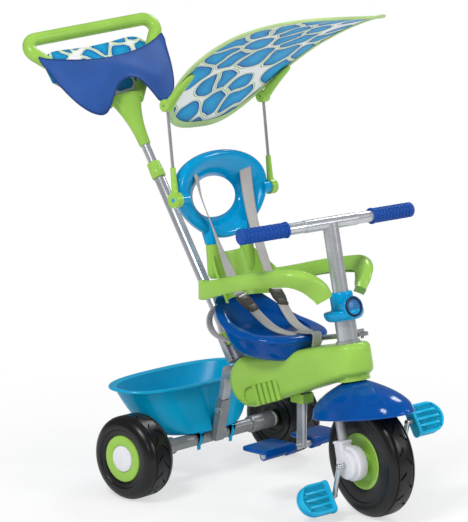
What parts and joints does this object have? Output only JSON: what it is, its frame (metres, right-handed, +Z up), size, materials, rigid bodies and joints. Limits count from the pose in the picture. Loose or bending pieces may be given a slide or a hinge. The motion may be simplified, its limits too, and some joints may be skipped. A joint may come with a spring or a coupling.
{
  "type": "toddler push along trike",
  "caption": "Toddler push trike with turning parent handle, sun canopy, safety bar, harness, folding foot plates, pedalled front wheel and a tipping rear bucket.",
  "frame": {"origin": "on the floor under the middle of the whole trike", "axes": "+X forward, +Y to the rider's left, +Z up"},
  "size_m": [0.9084, 0.504, 0.9278],
  "materials": {
    "green_plastic": "satin moulded",
    "turquoise_plastic": "satin moulded",
    "pedal_plastic": "satin moulded",
    "navy_plastic": "satin moulded",
    "white_plastic": "smooth moulded",
    "black_plastic": "fine grain",
    "grip_rubber": "knobbly",
    "tyre": "moulded tread",
    "silver_tube": "silver powder coat",
    "dark_tube": "grey powder coat",
    "bright_steel": "plated",
    "webbing": "woven",
    "canopy_cloth": "printed",
    "canopy_edging": "bound edge",
    "bag_cloth": "woven"
  },
  "bodies": {
    "chassis": {"rear_frame": "dark_tube", "axle_rod": "bright_steel", "axle_sleeves": "dark_tube", "lock_pin": "bright_steel", "main_frame": "silver_tube", "body_cover_right": "green_plastic", "body_cover_left": "green_plastic", "casing_screws": "bright_steel", "footrest_socket": "green_plastic", "footrest_frame": "silver_tube", "seat_bracket": "silver_tube", "seat_pan": "navy_plastic", "seat_back": "green_plastic", "headrest": "turquoise_plastic", "harness_right": "webbing", "harness_left": "webbing", "lap_strap": "webbing", "buckles": "black_plastic", "handle_socket": "green_plastic"},
    "steering": {"fork": "silver_tube", "column_tube": "silver_tube", "handlebar": "silver_tube", "grip_right": "grip_rubber", "grip_left": "grip_rubber", "collar": "turquoise_plastic", "badge": "navy_plastic", "mudguard": "navy_plastic", "fork_cap_right": "white_plastic", "fork_cap_left": "white_plastic"},
    "front_wheel": {"front_tyre": "tyre", "front_rim": "green_plastic", "crank": "bright_steel"},
    "right_pedal": {"pedal_right": "pedal_plastic"},
    "left_pedal": {"pedal_left": "pedal_plastic"},
    "right_rear_wheel": {"rear_tyre_right": "tyre", "rear_rim_right": "green_plastic", "rear_cap_right": "white_plastic", "rear_bush_right": "white_plastic"},
    "left_rear_wheel": {"rear_tyre_left": "tyre", "rear_rim_left": "green_plastic", "rear_cap_left": "white_plastic", "rear_bush_left": "white_plastic"},
    "tip_bucket": {"bucket": "turquoise_plastic"},
    "right_foot_plate": {"foot_plate_right": "navy_plastic"},
    "left_foot_plate": {"foot_plate_left": "navy_plastic"},
    "right_safety_arm": {"safety_bar_right": "green_plastic"},
    "left_safety_arm": {"safety_bar_left": "green_plastic"},
    "link": {"steer_link": "silver_tube"},
    "canopy_arms": {"canopy_sockets": "green_plastic", "canopy_rods": "silver_tube"},
    "canopy_shade": {"canopy_clamps": "green_plastic", "canopy_hoop": "canopy_edging", "canopy_cloth": "canopy_cloth"},
    "handle_lower": {"handle_tube": "silver_tube", "handle_collar": "green_plastic"},
    "handle_upper": {"handle_slider": "silver_tube", "handle_head": "green_plastic", "handle_bag": "bag_cloth"}
  },
  "joints": [
    {"name": "steer", "type": "hinge", "parent": "chassis", "child": "steering", "pos_m": [0.29803, 0, 0.28084], "axis": [-0.2079, 0, 0.9781], "range_deg": [-11, 39]},
    {"name": "front_wheel_spin", "type": "hinge", "parent": "steering", "child": "front_wheel", "pos_m": [0.35016, -0.00375, 0.1079], "axis": [0.2366, 0.9703, 0.0503], "continuous": true},
    {"name": "right_pedal_spin", "type": "hinge", "parent": "front_wheel", "child": "right_pedal", "pos_m": [0.31404, -0.07821, 0.04426], "axis": [0.2366, 0.9703, 0.0503], "continuous": true},
    {"name": "left_pedal_spin", "type": "hinge", "parent": "front_wheel", "child": "left_pedal", "pos_m": [0.38628, 0.07071, 0.17155], "axis": [0.2366, 0.9703, 0.0503], "continuous": true},
    {"name": "right_rear_wheel_spin", "type": "hinge", "parent": "chassis", "child": "right_rear_wheel", "pos_m": [-0.06139, 0, 0.081], "axis": [0, 1, 0], "continuous": true},
    {"name": "left_rear_wheel_spin", "type": "hinge", "parent": "chassis", "child": "left_rear_wheel", "pos_m": [-0.06139, 0, 0.081], "axis": [0, 1, 0], "continuous": true},
    {"name": "bucket_tip", "type": "hinge", "parent": "chassis", "child": "tip_bucket", "pos_m": [-0.06139, 0, 0.081], "axis": [0, 1, 0], "range_deg": [-50, 0]},
    {"name": "right_foot_fold", "type": "hinge", "parent": "chassis", "child": "right_foot_plate", "pos_m": [0.17661, 0, 0.102], "axis": [0, 1, 0], "range_deg": [0, 90]},
    {"name": "left_foot_fold", "type": "hinge", "parent": "chassis", "child": "left_foot_plate", "pos_m": [0.17661, 0, 0.102], "axis": [0, 1, 0], "range_deg": [0, 90]},
    {"name": "right_arm_swing", "type": "hinge", "parent": "chassis", "child": "right_safety_arm", "pos_m": [0.00861, -0.097, 0.398], "axis": [0, 0, 1], "range_deg": [-60, 0]},
    {"name": "left_arm_swing", "type": "hinge", "parent": "chassis", "child": "left_safety_arm", "pos_m": [0.00861, 0.097, 0.398], "axis": [0, 0, 1], "range_deg": [0, 60]},
    {"name": "link_slide", "type": "slide", "parent": "chassis", "child": "link", "axis": [0.9776, 0, 0.2103], "range_m": [-0.0235, 0.0072]},
    {"name": "canopy_tilt", "type": "hinge", "parent": "chassis", "child": "canopy_arms", "pos_m": [-0.02561, 0, 0.57208], "axis": [0, 1, 0], "range_deg": [-20, 25]},
    {"name": "canopy_pitch", "type": "hinge", "parent": "canopy_arms", "child": "canopy_shade", "pos_m": [-0.04692, 0, 0.75081], "axis": [0, 1, 0], "range_deg": [-25, 20]},
    {"name": "handle_turn", "type": "hinge", "parent": "chassis", "child": "handle_lower", "pos_m": [-0.00239, 0, 0.265], "axis": [-0.5299, 0, 0.848], "range_deg": [-11, 39]},
    {"name": "handle_slide", "type": "slide", "parent": "handle_lower", "child": "handle_upper", "axis": [-0.5299, 0, 0.848], "range_m": [-0.035, 0.12]}
  ],
  "couplings": [
    {"joint": "handle_turn", "follows": "steer", "ratio": 1},
    {"joint": "link_slide", "follows": "steer", "m_per_rad": -0.0329}
  ]
}
